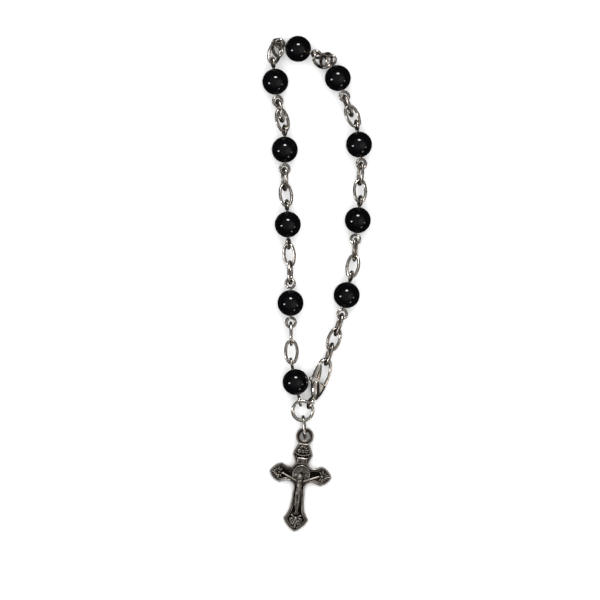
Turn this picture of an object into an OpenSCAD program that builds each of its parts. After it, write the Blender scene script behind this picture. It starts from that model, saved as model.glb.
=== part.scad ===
// Rosary bracelet: ten glass beads on eye pins and oval links, a lobster clasp and a crucifix.
// It lies closed on a flat surface at z = 0, with the crucifix towards -Y.

/* [Beads] */
// Diameter of a bead
bead_d = 6; // [5:0.5:8]
// Hole drilled through a bead
bead_bore_d = 1; // [0.95:0.05:1.3]

/* [Eye pins] */
// Wire of the eye pins
pin_wire_d = 0.65; // [0.5:0.05:0.7]
// Outside diameter of the loop at each end of a pin
eye_d = 2.75; // [2.6:0.05:3.2]
// Space between a bead and the loop beside it
eye_gap = 0.1; // [0.1:0.05:0.5]

/* [Chain links] */
// Outside length of a link
link_l = 5.7; // [5.5:0.1:7]
// Outside width of a link
link_w = 3.4; // [3.2:0.1:3.6]
// Radius of a link's ends, to the middle of its wire
link_end_r = 1.05; // [1:0.05:1.1]
// Wire of the links
link_wire_d = 0.7; // [0.5:0.05:0.75]
// Least space between two wires that hang in each other
wire_gap = 0.1; // [0.1:0.05:0.2]

/* [Rings] */
// Outside diameter of the round ring
round_ring_d = 5.4; // [5:0.1:6.5]
// Wire of the round ring
round_ring_wire_d = 0.75; // [0.6:0.05:0.8]
// Outside length of the pendant ring
pendant_ring_l = 5.6; // [5.2:0.1:7]
// Outside width of the pendant ring
pendant_ring_w = 3.3; // [3.2:0.1:4]
// Wire of the pendant ring
pendant_ring_wire_d = 0.7; // [0.6:0.05:0.75]

/* [Clasp] */
// Length of the clasp, from its eye to the top of its hook
clasp_l = 12.7; // [12:0.1:14]
// Width of the clasp without the thumb tab
clasp_w = 4.2; // [4:0.1:5]
// Thickness of the clasp
clasp_t = 2.3; // [2:0.1:3]
// Outside diameter of the eye of the clasp
clasp_eye_d = 3; // [2.8:0.1:3.4]
// Wire of the eye of the clasp
clasp_eye_wire_d = 0.7; // [0.6:0.05:0.8]
// Width of the hook's bow, seen from the front
hook_w = 0.7; // [0.6:0.05:0.8]
// Thickness of the hook and the gate
hook_t = 1.1; // [0.9:0.1:1.2]
// Thickness of the lever
lever_t = 0.9; // [0.7:0.1:1.1]
// Space on each face of the lever
lever_gap = 0.1; // [0.1:0.05:0.2]
// Diameter of the rivet that the lever turns on
rivet_d = 0.8; // [0.6:0.1:1]
// Space around the rivet in the lever
rivet_gap = 0.05; // [0.03:0.01:0.08]

/* [Crucifix] */
// Height of the crucifix with its eye
crucifix_h = 24.2; // [22:0.2:28]
// Width of the crucifix over its arms
crucifix_w = 14.4; // [13:0.2:18]
// Thickness of the plate
crucifix_t = 1.2; // [1:0.1:1.6]
// Outside diameter of the crucifix's eye
crucifix_eye_d = 4.1; // [3.8:0.1:5]
// Hole in the crucifix's eye
crucifix_hole_d = 2.1; // [2:0.1:2.4]
// Width of the raised rim
rim_w = 0.35; // [0.25:0.05:0.5]
// Height of the raised rim above the plate
rim_h = 0.35; // [0.2:0.05:0.5]
// Depth of the panels below the plate
panel_depth = 0.25; // [0.1:0.05:0.4]
// Length of the figure's body, from chin to feet
figure_h = 7.6; // [7:0.2:9]

/* [Hidden] */
$fn = 48;
BEADS = 10;
LINKS = 21;
FIRST_BUNCHED = 5;

black_glass = [0.03, 0.03, 0.035];
chain_silver = [0.62, 0.6, 0.57];
bright_silver = [0.78, 0.78, 0.77];
dark_silver = [0.45, 0.42, 0.39];

// Centre line radii and reaches
bead_r = bead_d / 2;
eye_r = (eye_d - pin_wire_d) / 2;
eye_reach = bead_r + eye_gap + eye_d / 2;
link_reach = link_l - link_wire_d;
round_ring_r = (round_ring_d - round_ring_wire_d) / 2;
pendant_ring_reach = pendant_ring_l - pendant_ring_wire_d;
clasp_eye_r = (clasp_eye_d - clasp_eye_wire_d) / 2;
hook_top = clasp_l - clasp_eye_d / 2;

// Link: its sides bow out from the middle of each end's bend, and meet the bend at this angle
link_half_w = (link_w - link_wire_d) / 2;
link_end_x = link_reach / 2 - link_end_r;
link_side_r = (link_end_x * link_end_x + link_half_w * link_half_w - link_end_r * link_end_r)
    / (2 * (link_half_w - link_end_r));
link_meet = atan2(link_side_r - link_half_w, link_end_x);

// Depth that one wire's bend sits inside another's, between their centre lines
eye_lap = (pin_wire_d + link_wire_d) / 2 + wire_gap;
link_lap = link_wire_d + wire_gap;
ring_lap = (round_ring_wire_d + pendant_ring_wire_d) / 2 + wire_gap;

// Distance between two beads when the two links between them are pulled straight
bead_pitch = 2 * (eye_reach + eye_r - eye_lap + link_reach) - link_lap;

// Route of the beads as the bracelet lies: left side up from the round ring, over the top, right side
// down. Places are shares of bead_pitch from bead 1.
// columns: x, y, turn of the pin, rise of the pin
route = [
    [0,      0,     102, 8],
    [-0.063, 0.975, 91,   0],
    [-0.097, 1.945, 92,   0],
    [-0.134, 2.868, 90,   0],
    [-0.250, 3.707, 97,   0],
    [0.031,  4.112, -17,  8],
    [0.521,  3.751, -70,  0],
    [0.783,  2.931, -83,  0],
    [0.767,  1.998, -97,  0],
    [0.630,  1.072, -103, 0]
];

// How the two links in each gap lie: they bend in one plane, which hangs straight down at swing 0 and lies
// to the left at 90. One of the links stands in that plane and the other lies across it.
// columns: play in the loops, play between the links, swing, which link stands, twist of each link; or,
// for a gap whose links lie bunched, only the rolls of its two loops
gaps = [
    [0.15, 0.15, 0,  2, 0, 0],
    [0.2,  0.1, -20, 1, 8, -8],
    [0.4,  0.4, 15,  2, 0, 5],
    [0.4,  2,   20,  2, 0, 0],
    [103.3, 34.4],
    [45.3, 16.6],
    [0.42, 1.6, -15, 1, 0, 5],
    [0.45, 0.2, -20, 1, 0, 5],
    [0.35, 0.2, 15,  1, -5, 0]
];

// Links 9 to 12 lie bunched beside bead 6, with their middles at these places
// columns: x and y as shares of bead_pitch from bead 1, height as a share of bead_d, turn, rise, roll
bunched = [
    [-0.2618, 4.0598, 0.32,  75.6,  -23.7, 20.1],
    [-0.2259, 4.1221, 0.363, 115.3, -41.1, -35.5],
    [0.3078,  3.9712, 0.372, -34.9, -47,   -11],
    [0.3791,  3.9712, 0.407, -85.3, 50.9,  18.4]
];

// Play in the loop, play between the links and swing of the three links beside the clasp
clasp_gap = [0.2, 0.8, -15];

// Vectors and frames: u runs along a piece, v lies across it in its own plane
function unit(v) = v / norm(v);
function heading(turn, rise) = [cos(rise) * cos(turn), cos(rise) * sin(turn), sin(rise)];
function level_side(u) = unit(cross([0, 0, 1], u));
function rolled_side(u, roll) = level_side(u) * cos(roll) + cross(u, level_side(u)) * sin(roll);
function frame(p, u, v) = let (w = cross(u, v)) [
    [u.x, v.x, w.x, p.x],
    [u.y, v.y, w.y, p.y],
    [u.z, v.z, w.z, p.z],
    [0, 0, 0, 1]
];
function placed(f, q) = let (r = f * [q.x, q.y, q.z, 1]) [r.x, r.y, r.z];

// Round ring: it slopes from the pendant ring up to the first bead's loop
round_ring_slope = 12;
round_ring_uphill = 100;
round_ring_z = 0.65 * bead_r;
round_ring_at = [0, 0, round_ring_z];
round_ring_u = heading(round_ring_uphill, round_ring_slope);
round_ring_frame = frame(round_ring_at, round_ring_u, level_side(round_ring_u));
function on_round_ring(turn, r) = placed(round_ring_frame,
    r * [cos(turn - round_ring_uphill), sin(turn - round_ring_uphill), 0]);

// First bead: its lower loop hangs on the round ring
first_loop_turn = 107;
first_loop_slack = 0.15;
first_bead_axis = heading(route[0][2], route[0][3]);
first_loop_at = on_round_ring(first_loop_turn, round_ring_r + first_loop_slack);
bead_1_at = [first_loop_at.x + eye_reach * first_bead_axis.x,
    first_loop_at.y + eye_reach * first_bead_axis.y, bead_r];

// Beads and pins
function bead_at(i) = bead_1_at + bead_pitch * [route[i - 1].x, route[i - 1].y, 0];
function pin_axis(i) = heading(route[i - 1][2], route[i - 1][3]);
function loop_at(i, end) = bead_at(i) + end * eye_reach * pin_axis(i);

// Each loop lies square to the link that hangs in it
function loop_roll(i, end) =
    i == 1 && end < 0 ? 90
    : i == BEADS && end > 0 ? clasp_gap[2]
    : let (row = gaps[end < 0 ? i - 2 : i - 1])
        len(row) == 2 ? row[end < 0 ? 1 : 0]
        : row[2] + (row[3] == (end < 0 ? 2 : 1) ? 0 : 90);

// Direction in which a bend hangs, square to the line between its ends
function sag_side(dir, swing) = let (side = level_side(dir)) cos(swing) * cross(side, dir) + sin(swing) * side;
function turned(v, u, twist) = v * cos(twist) + cross(u, v) * sin(twist);
function bend_height(side_a, base, along) = sqrt(max(0, side_a * side_a - along * along));

// Two links between the loops at s and e. The end of the lying link sits on the centre line of the
// standing one, play and lap short of its end, which makes a triangle with the line between the loops.
function two_links(s, e, row) = let (
        dir = unit(e - s),
        lay = eye_r - eye_lap - row[0],
        p = s + lay * dir,
        q = e - lay * dir,
        base = norm(q - p),
        short = link_reach - link_lap - row[1],
        side_a = row[3] == 1 ? short : link_reach,
        side_b = row[3] == 1 ? link_reach : short,
        along = min(side_a, (base * base + side_a * side_a - side_b * side_b) / (2 * base)),
        sag = sag_side(dir, row[2]),
        joint = p + along * dir + bend_height(side_a, base, along) * sag,
        u_a = unit(joint - p),
        u_b = unit(q - joint),
        across = cross(dir, sag)
    ) [
        [p, u_a, turned(row[3] == 1 ? cross(across, u_a) : across, u_a, row[4])],
        [q - link_reach * u_b, u_b, turned(row[3] == 2 ? cross(across, u_b) : across, u_b, row[5])]
    ];

// A bunched link, where the table puts it
function bunched_link(row) = let (u = heading(row[3], row[4])) [
    [bead_1_at.x + row.x * bead_pitch, bead_1_at.y + row.y * bead_pitch, row.z * bead_d] - link_reach / 2 * u,
    u,
    rolled_side(u, row[5])
];

// Three links between the last loop and the clasp's hook: the first and last stand, the middle one lies
function three_links(s, e, row) = let (
        dir = unit(e - s),
        lay = eye_r - eye_lap - row[0],
        p = s + lay * dir,
        short = link_reach - link_lap - row[1],
        along = (norm(e - p) - link_reach) / 2,
        sag = sag_side(dir, row[2]),
        drop = bend_height(short, norm(e - p), along) * sag,
        u_a = unit(along * dir + drop),
        u_c = unit(along * dir - drop),
        across = cross(dir, sag)
    ) [
        [p, u_a, cross(across, u_a)],
        [p + along * dir + drop, dir, across],
        [e - link_reach * u_c, u_c, cross(across, u_c)]
    ];

// Clasp: x across it, y from its eye towards the hook. It lies rolled, with the lever's side up.
clasp_eye_turn = 46;
clasp_eye_slack = 0.2;
clasp_turn = 70;
clasp_rise = 0;
clasp_roll = 20;
clasp_u = heading(clasp_turn, clasp_rise);
clasp_frame = frame(on_round_ring(clasp_eye_turn, round_ring_r + clasp_eye_slack),
    -rolled_side(clasp_u, clasp_roll), clasp_u);

// Hook: the last link hangs in the top of it
crook_x = 0.071;
crook_w = 1.25 * hook_w;
hook_slack = 0.3;
hook_hold = placed(clasp_frame, [crook_x * clasp_w, hook_top - crook_w - link_wire_d / 2 - wire_gap - hook_slack, 0]);

// Links: the start of the centre line, the direction and the side that lies in the link's plane
links = concat(
    [for (g = [1:BEADS - 1]) each
        len(gaps[g - 1]) == 2
            ? [for (k = [0, 1]) bunched_link(bunched[2 * (g - FIRST_BUNCHED) + k])]
            : two_links(loop_at(g, 1), loop_at(g + 1, -1), gaps[g - 1])],
    three_links(loop_at(BEADS, 1), hook_hold, clasp_gap)
);
function link_frame(k) = let (row = links[k - 1]) frame(row[0] + link_reach / 2 * row[1], row[1], row[2]);

// Pendant ring: it stands on its side, through the round ring and the crucifix's eye
pendant_turn = -85;
pendant_ring_turn = -86;
pendant_ring_roll = 86;
pendant_slack = 0.1;
pendant_top = on_round_ring(pendant_ring_turn, round_ring_r - ring_lap - pendant_slack);
pendant_u = heading(pendant_turn, 0);
pendant_ring_at = [pendant_top.x, pendant_top.y, 0] + pendant_ring_reach / 2 * pendant_u
    + [0, 0, pendant_ring_w / 2];
pendant_ring_frame = frame(pendant_ring_at, pendant_u, rolled_side(pendant_u, pendant_ring_roll));

// Crucifix: the ring's wire props its eye up, and its foot rests on the surface
crucifix_turn = -96.3;
crucifix_eye_slack = 0.35;
crucifix_foot = crucifix_h - crucifix_eye_d / 2;
crucifix_prop = pendant_ring_wire_d + 2 * wire_gap;
crucifix_rise = asin(crucifix_prop / crucifix_foot);
crucifix_eye_at = [pendant_ring_at.x, pendant_ring_at.y, crucifix_prop]
    + (pendant_ring_reach / 2 - crucifix_eye_slack) * pendant_u;
crucifix_down = heading(crucifix_turn, -crucifix_rise);
crucifix_frame = frame(crucifix_eye_at, level_side(crucifix_down), -crucifix_down);

// Outlines: each row is a corner, and its bulge is how far the edge after it bows out, as a share of its
// length. Outlines run clockwise.
edge_steps = 6;
function bulged(a, b, bulge) = [for (i = [0:bulge == 0 ? 0 : edge_steps - 1])
    let (t = i / edge_steps, out = [-(b - a).y, (b - a).x])
    a + t * (b - a) + 4 * t * (1 - t) * bulge * out];
function outline(corners, bulges) = [for (i = [0:len(corners) - 1])
    each bulged(corners[i], corners[(i + 1) % len(corners)], bulges[i])];

// The same outline moved inward by d, corner by corner
function edge_in(a, b) = let (v = unit(b - a)) [v.y, -v.x];
function inset_by(points, d) = [for (i = [0:len(points) - 1])
    let (
        n = len(points),
        n_a = edge_in(points[(i + n - 1) % n], points[i]),
        n_b = edge_in(points[i], points[(i + 1) % n])
    ) points[i] + d * (n_a + n_b) / (1 + n_a * n_b)];

// Clasp: from the foot of its left side over the cheeks, round the opening, up inside the hook to its end,
// back over the top and down the right side
// columns: x as a share of clasp_w, y as a share of hook_top, x and y in widths of the hook, bulge
clasp_corners = [
    [-0.226, 0.103, 0,    0,     0.04],
    [-0.464, 0.384, 0,    0,     0.05],
    [-0.37,  0.455, 0,    0,     0],
    [-0.12,  0.446, 0,    0,     -0.25],
    [0.5,    0.455, -1.2, 0,     -0.06],
    [0.417,  0.857, -1,   0,     -0.2],
    [0.071,  1,     0,    -1.25, -0.2],
    [-0.274, 0.848, 1.2,  0,     0],
    [-0.274, 0.848, 0,    0,     0.2],
    [0.071,  1,     0,    0,     0.12],
    [0.417,  0.821, 0,    0,     0.04],
    [0.5,    0.5,   0,    0,     0.07],
    [0.226,  0.103, 0,    0,     0]
];
clasp_outline = outline(
    [for (q = clasp_corners) [q[0] * clasp_w + q[2] * hook_w, q[1] * hook_top + q[3] * hook_w]],
    [for (q = clasp_corners) q[4]]
);
clasp_chamfer = 0.2;
cheek_top = 0.46 * hook_top;
slot_x = 0.13 * clasp_w;
slot_foot = 0.12 * hook_top;
slot_t = lever_t + 2 * lever_gap;

// Lever: from its tail up the left side, round the thumb tab, up to the gate's tip and back down
// columns: x as a share of clasp_w, y as a share of hook_top, bulge
pivot = [-0.18 * clasp_w, 0.355 * hook_top];
lever_corners = [
    [-0.08, 0.165, 0.1],
    [-0.38, 0.33,  0.06],
    [-0.41, 0.42,  0],
    [-0.54, 0.44,  0.3],
    [-0.55, 0.485, 0],
    [-0.46, 0.53,  0.03],
    [-0.34, 0.82,  0.3],
    [-0.2,  0.82,  0.02],
    [-0.06, 0.5,   0],
    [0.03,  0.38,  0.05],
    [0.06,  0.2,   0.2]
];
lever_outline = outline(
    [for (q = lever_corners) [q[0] * clasp_w, q[1] * hook_top]],
    [for (q = lever_corners) q[2]]
);
gate_foot = 0.475 * hook_top;

// Crucifix: right half of its outline, from the neck to the foot's tip
// columns: x as a share of half the width, y as a share of crucifix_foot from the middle, bulge
cross_y = -0.4 * crucifix_foot;
cross_corners = [
    [0.147, 0.325,  0.05],
    [0.324, 0.206,  -0.06],
    [0.227, 0.108,  -0.12],
    [0.327, 0.072,  -0.08],
    [0.645, 0.105,  0.11],
    [1,     0.001,  0.11],
    [0.652, -0.102, -0.08],
    [0.347, -0.075, -0.12],
    [0.189, -0.115, -0.03],
    [0.196, -0.212, -0.03],
    [0.245, -0.366, -0.06],
    [0.404, -0.465, 0.09],
    [0,     -0.6,   0.09],
    [-0.404, -0.465, -0.06],
    [-0.245, -0.366, -0.03],
    [-0.196, -0.212, -0.03],
    [-0.189, -0.115, -0.12],
    [-0.347, -0.075, -0.08],
    [-0.652, -0.102, 0.11],
    [-1,     0.001,  0.11],
    [-0.645, 0.105,  -0.08],
    [-0.327, 0.072,  -0.12],
    [-0.227, 0.108,  -0.06],
    [-0.324, 0.206,  0.05],
    [-0.147, 0.325,  0]
];
cross_outline = outline(
    [for (q = cross_corners) [q[0] * crucifix_w / 2, cross_y + q[1] * crucifix_foot]],
    [for (q = cross_corners) q[2]]
);

// Relief on the crucifix
halo_r = 0.135 * crucifix_w;
halo_t = 0.25 * crucifix_t;
title_w = 0.16 * crucifix_w;
title_h = 0.068 * crucifix_foot;
title_y = 0.108 * crucifix_foot;
// columns: x as a share of half the width, y as a share of crucifix_foot from the middle, turn, size as a
// share of crucifix_w
tufts = [
    [0,     0.235,  90,  0.066],
    [0.69,  0,      0,   0.076],
    [-0.69, 0,      180, 0.076],
    [0,     -0.475, -90, 0.083]
];
// columns: start x, y, z, end x, y, z, start radius, end radius, all as shares of figure_h
figure_limbs = [
    [0.1,    -0.21,  0.06, 0.32,  -0.11,  0.07, 0.045, 0.036],
    [0.32,   -0.11,  0.07, 0.545, -0.01,  0.05, 0.036, 0.026],
    [-0.1,   -0.21,  0.06, -0.32, -0.11,  0.07, 0.045, 0.036],
    [-0.32,  -0.11,  0.07, -0.545, -0.01, 0.05, 0.036, 0.026],
    [0,      -0.2,   0.05, 0,     -0.43,  0.05, 0.1,   0.075],
    [0,      -0.43,  0.05, -0.01, -0.57,  0.06, 0.085, 0.09],
    [0.035,  -0.57,  0.05, 0.02,  -0.85,  0.09, 0.055, 0.042],
    [-0.045, -0.57,  0.05, -0.04, -0.85,  0.09, 0.055, 0.042],
    [0.02,   -0.85,  0.09, 0.005, -1.1,   0.04, 0.04,  0.03],
    [-0.04,  -0.85,  0.09, -0.01, -1.1,   0.04, 0.04,  0.03],
    [0,      -1.1,   0.04, 0,     -1.17,  0.06, 0.035, 0.02]
];

// Middle of the footprint, which goes to x = 0 and y = 0
left_x = min([for (i = [1:BEADS]) bead_at(i).x]) - bead_r;
right_x = max([for (i = [1:BEADS]) bead_at(i).x]) + bead_r;
top_y = max([for (i = [1:BEADS]) bead_at(i).y]) + bead_r;
foot_at = placed(crucifix_frame, [0, -crucifix_foot, 0]);
middle = [(left_x + right_x) / 2, (top_y + foot_at.y) / 2, 0];

module ring_of_wire(r, wire_d) {
    rotate_extrude() translate([r, 0]) circle(d = wire_d);
}

module oval_of_wire(length, width, wire_d) {
    r = (width - wire_d) / 2;
    straight = length - width;
    for (end = [0, 180])
        rotate([0, 0, end]) {
            translate([straight / 2, 0, 0])
                rotate([0, 0, -90]) rotate_extrude(angle = 180) translate([r, 0]) circle(d = wire_d);
            translate([-straight / 2, r, 0])
                rotate([0, 90, 0]) cylinder(d = wire_d, h = straight);
        }
}

// Bead and pin with the pin along X
module bead() {
    color(black_glass)
        difference() {
            sphere(d = bead_d);
            rotate([0, 90, 0]) cylinder(d = bead_bore_d, h = bead_d + 1, center = true);
        }
}

module eye_pin(rolls) {
    shaft = 2 * (eye_reach - eye_r);
    color(chain_silver) {
        rotate([0, 90, 0]) cylinder(d = pin_wire_d, h = shaft, center = true);
        for (end = [0, 1])
            translate([(2 * end - 1) * eye_reach, 0, 0])
                rotate([rolls[end], 0, 0]) ring_of_wire(eye_r, pin_wire_d);
    }
}

module bend_of_wire(r, wire_d, from, to) {
    rotate([0, 0, from]) rotate_extrude(angle = to - from) translate([r, 0]) circle(d = wire_d);
}

module link() {
    color(chain_silver)
        for (end = [0, 180])
            rotate([0, 0, end]) {
                translate([link_end_x, 0, 0]) bend_of_wire(link_end_r, link_wire_d, -link_meet, link_meet);
                translate([0, link_half_w - link_side_r, 0])
                    bend_of_wire(link_side_r, link_wire_d, link_meet, 180 - link_meet);
            }
}

module round_ring() {
    color(bright_silver) ring_of_wire(round_ring_r, round_ring_wire_d);
}

module pendant_ring() {
    color(chain_silver) oval_of_wire(pendant_ring_l, pendant_ring_w, pendant_ring_wire_d);
}

// Clasp: thin hook and thicker cheeks, each with a chamfer
module clasp_layer(t, inset) {
    linear_extrude(t, center = true) polygon(inset_by(clasp_outline, inset));
}

module below_cheek_top() {
    intersection() {
        children();
        translate([-clasp_w, 0, -clasp_t]) cube([2 * clasp_w, cheek_top, 2 * clasp_t]);
    }
}

module clasp_body() {
    color(bright_silver) {
        difference() {
            union() {
                clasp_layer(hook_t, clasp_chamfer);
                clasp_layer(hook_t - 2 * clasp_chamfer, 0);
                below_cheek_top() clasp_layer(clasp_t, clasp_chamfer);
                below_cheek_top() clasp_layer(clasp_t - 2 * clasp_chamfer, 0);
            }
            translate([slot_x - clasp_w, slot_foot, -slot_t / 2]) cube([clasp_w, cheek_top, slot_t]);
        }
        translate([pivot.x, pivot.y, 0]) cylinder(d = rivet_d, h = clasp_t - clasp_chamfer, center = true);
        rotate([0, 90, 0]) ring_of_wire(clasp_eye_r, clasp_eye_wire_d);
    }
}

module clasp_lever() {
    color(bright_silver)
        difference() {
            union() {
                linear_extrude(lever_t, center = true) polygon(lever_outline);
                intersection() {
                    linear_extrude(hook_t, center = true) polygon(lever_outline);
                    translate([-clasp_w, gate_foot, -clasp_t]) cube([2 * clasp_w, clasp_l, 2 * clasp_t]);
                }
            }
            translate([pivot.x, pivot.y, 0])
                cylinder(d = rivet_d + 2 * rivet_gap, h = clasp_t, center = true);
        }
}

// Crucifix, flat on its back, x across it and y up it, with its eye at the origin
module cross_outline_in(inset) {
    polygon(inset_by(cross_outline, inset));
}

module leaf_tuft(x, y, turn, size) {
    for (i = [-2:2])
        translate([x, y, crucifix_t - panel_depth])
            rotate([0, 0, turn + i * 42])
                translate([size * (i == 0 ? 1.25 : 0.95), 0, 0]) sphere(r = size * 0.32, $fn = 14);
    translate([x, y, crucifix_t - panel_depth]) rotate([0, 0, turn]) sphere(r = size * 0.4, $fn = 14);
}

module limb(from, to, r_from, r_to) {
    hull() {
        translate(from) sphere(r = r_from, $fn = 12);
        translate(to) sphere(r = r_to, $fn = 12);
    }
}

module figure() {
    f = figure_h;
    for (row = figure_limbs)
        limb([row[0] * f, row[1] * f, row[2] * f], [row[3] * f, row[4] * f, row[5] * f], row[6] * f, row[7] * f);
    translate([0, -0.05 * f, 0.12 * f]) sphere(r = 0.085 * f, $fn = 16);
}

module crucifix() {
    floor_z = crucifix_t - panel_depth;
    color(dark_silver)
        difference() {
            union() {
                difference() {
                    linear_extrude(crucifix_t + rim_h) cross_outline_in(0);
                    translate([0, 0, crucifix_t]) linear_extrude(rim_h + 1) cross_outline_in(rim_w);
                    translate([0, 0, floor_z]) linear_extrude(rim_h + 1) cross_outline_in(2 * rim_w);
                }
                cylinder(d = crucifix_eye_d, h = crucifix_t);
                difference() {
                    cylinder(d = crucifix_eye_d, h = crucifix_t + rim_h / 2);
                    cylinder(d = crucifix_eye_d - 2 * rim_w, h = crucifix_t + rim_h);
                }
                translate([0, cross_y, floor_z]) {
                    cylinder(r = halo_r, h = halo_t);
                    translate([-title_w / 2, title_y, 0]) cube([title_w, title_h, panel_depth + rim_h]);
                    figure();
                }
                for (row = tufts)
                    leaf_tuft(row[0] * crucifix_w / 2, cross_y + row[1] * crucifix_foot, row[2], row[3] * crucifix_w);
            }
            translate([0, 0, -1]) cylinder(d = crucifix_hole_d, h = crucifix_t + 3);
        }
}

for (i = [1:BEADS]) {
    spot = frame(bead_at(i) - middle, pin_axis(i), level_side(pin_axis(i)));
    rolls = [loop_roll(i, -1), loop_roll(i, 1)];
    multmatrix(spot) bead();
    multmatrix(spot) eye_pin(rolls);
}
for (k = [1:LINKS]) {
    translate(-middle) multmatrix(link_frame(k)) link();
}
translate(-middle) multmatrix(round_ring_frame) round_ring();
translate(-middle) multmatrix(pendant_ring_frame) pendant_ring();
translate(-middle) multmatrix(clasp_frame) clasp_body();
translate(-middle) multmatrix(clasp_frame) clasp_lever();
translate(-middle) multmatrix(crucifix_frame) crucifix();
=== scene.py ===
import math
import bpy
import bmesh
import numpy as np
from mathutils import Matrix, Vector


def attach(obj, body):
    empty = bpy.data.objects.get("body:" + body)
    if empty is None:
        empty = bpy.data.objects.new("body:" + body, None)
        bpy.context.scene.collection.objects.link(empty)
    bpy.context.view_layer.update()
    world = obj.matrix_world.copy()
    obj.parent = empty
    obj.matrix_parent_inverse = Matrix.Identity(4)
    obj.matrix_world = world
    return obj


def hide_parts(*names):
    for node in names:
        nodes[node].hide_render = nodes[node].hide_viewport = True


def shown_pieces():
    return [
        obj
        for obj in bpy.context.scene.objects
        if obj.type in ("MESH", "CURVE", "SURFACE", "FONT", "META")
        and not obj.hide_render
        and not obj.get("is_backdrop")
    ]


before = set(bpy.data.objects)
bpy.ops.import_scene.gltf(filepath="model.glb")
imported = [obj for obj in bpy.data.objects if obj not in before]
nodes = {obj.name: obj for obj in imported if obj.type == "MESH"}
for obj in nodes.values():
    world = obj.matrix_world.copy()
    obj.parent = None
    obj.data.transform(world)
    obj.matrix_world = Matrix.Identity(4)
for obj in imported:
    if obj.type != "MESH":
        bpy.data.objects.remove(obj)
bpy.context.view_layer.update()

mm = 0.001
mergeGap = 0.0005


def deselectAll():
    if bpy.context.object and bpy.context.object.mode != "OBJECT":
        bpy.ops.object.mode_set(mode="OBJECT")
    bpy.ops.object.select_all(action="DESELECT")


def pick(*objs):
    deselectAll()
    for o in objs:
        o.select_set(True)
    bpy.context.view_layer.objects.active = objs[0]
    return objs[0]


def newest(name):
    obj = bpy.context.object
    obj.name = name
    obj.data.name = name
    return obj


def applyPlace(obj):
    pick(obj)
    bpy.ops.object.transform_apply(location=True, rotation=True, scale=True)


def applyMod(obj, kind, **settings):
    pick(obj)
    mod = obj.modifiers.new(kind.lower(), kind)
    for key, value in settings.items():
        setattr(mod, key, value)
    bpy.ops.object.modifier_apply(modifier=mod.name)


def joinAll(objs, name):
    for o in objs:
        applyPlace(o)
    pick(*objs)
    if len(objs) > 1:
        bpy.ops.object.join()
    return newest(name)


def copyOf(obj, name):
    twin = obj.copy()
    twin.data = obj.data.copy()
    twin.name = name
    twin.data.name = name
    bpy.context.scene.collection.objects.link(twin)
    return twin


# edit mode with only what passes the test selected
def selectWhere(obj, test, what="VERT"):
    pick(obj)
    bpy.ops.object.mode_set(mode="EDIT")
    bpy.ops.mesh.select_mode(type=what)
    bpy.ops.mesh.select_all(action="DESELECT")
    work = bmesh.from_edit_mesh(obj.data)
    if what == "VERT":
        for v in work.verts:
            v.select = test(v.co)
    elif what == "FACE":
        for f in work.faces:
            f.select = test(f.calc_center_median())
    else:
        for e in work.edges:
            e.select = test(e)
    work.select_flush_mode()
    bmesh.update_edit_mesh(obj.data)


def leaveEdit():
    bpy.ops.object.mode_set(mode="OBJECT")


def cleanNormals(obj):
    pick(obj)
    bpy.ops.object.mode_set(mode="EDIT")
    bpy.ops.mesh.select_all(action="SELECT")
    bpy.ops.mesh.remove_doubles(threshold=mergeGap)
    bpy.ops.mesh.normals_make_consistent(inside=False)
    bpy.ops.object.mode_set(mode="OBJECT")


def smooth(obj, angle=None):
    pick(obj)
    if angle is None:
        bpy.ops.object.shade_smooth()
    else:
        bpy.ops.object.shade_smooth_by_angle(angle=math.radians(angle))


def putAt(obj, place):
    obj.matrix_world = place
    bpy.context.view_layer.update()
    applyPlace(obj)


def finishPiece(obj, body, slot, material, *stands):
    obj.data.materials.clear()
    obj.data.materials.append(material)
    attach(obj, body)
    if stands:
        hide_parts(*stands)


def areaPoints(node, keep=None):
    mesh = nodes[node].data
    mesh.calc_loop_triangles()
    count = len(mesh.vertices)
    co = np.zeros(count * 3)
    mesh.vertices.foreach_get("co", co)
    co = co.reshape(-1, 3) / mm
    tri = np.array([t.vertices[:] for t in mesh.loop_triangles])
    a, b, c = co[tri[:, 0]], co[tri[:, 1]], co[tri[:, 2]]
    middle, area = (a + b + c) / 3, np.linalg.norm(np.cross(b - a, c - a), axis=1) / 2
    if keep is not None:
        chosen = keep(middle)
        middle, area = middle[chosen], area[chosen]
    return middle, area


def mainAxes(points, weight):
    centre = (points * weight[:, None]).sum(0) / weight.sum()
    away = points - centre
    spread = (away * weight[:, None]).T @ away
    values, vectors = np.linalg.eigh(spread)
    return centre, vectors[:, 2], vectors[:, 1], vectors[:, 0]


def framePlace(centre, alongX, alongY):
    x = Vector(alongX).normalized()
    z = x.cross(Vector(alongY)).normalized()
    y = z.cross(x)
    place = Matrix((x, y, z)).transposed().to_4x4()
    place.translation = Vector(centre) * mm
    return place @ Matrix.Scale(mm, 4)


def ovalPlace(node):
    centre, long, wide = mainAxes(*areaPoints(node))[:3]
    return framePlace(centre, long, wide)


def heading(turn, rise):
    t, r = math.radians(turn), math.radians(rise)
    return Vector((math.cos(r) * math.cos(t), math.cos(r) * math.sin(t), math.sin(r)))


def levelSide(u):
    return Vector((0, 0, 1)).cross(u).normalized()


def rolledSide(u, roll):
    side = levelSide(u)
    return side * math.cos(math.radians(roll)) + u.cross(side) * math.sin(math.radians(roll))


def newGroup(name, inputs, outputs):
    group = bpy.data.node_groups.new(name, "ShaderNodeTree")
    for label, kind, value in inputs:
        sock = group.interface.new_socket(name=label, in_out="INPUT", socket_type=kind)
        sock.default_value = value
    for label, kind in outputs:
        group.interface.new_socket(name=label, in_out="OUTPUT", socket_type=kind)
    return group, group.nodes.new("NodeGroupInput"), group.nodes.new("NodeGroupOutput")


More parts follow.
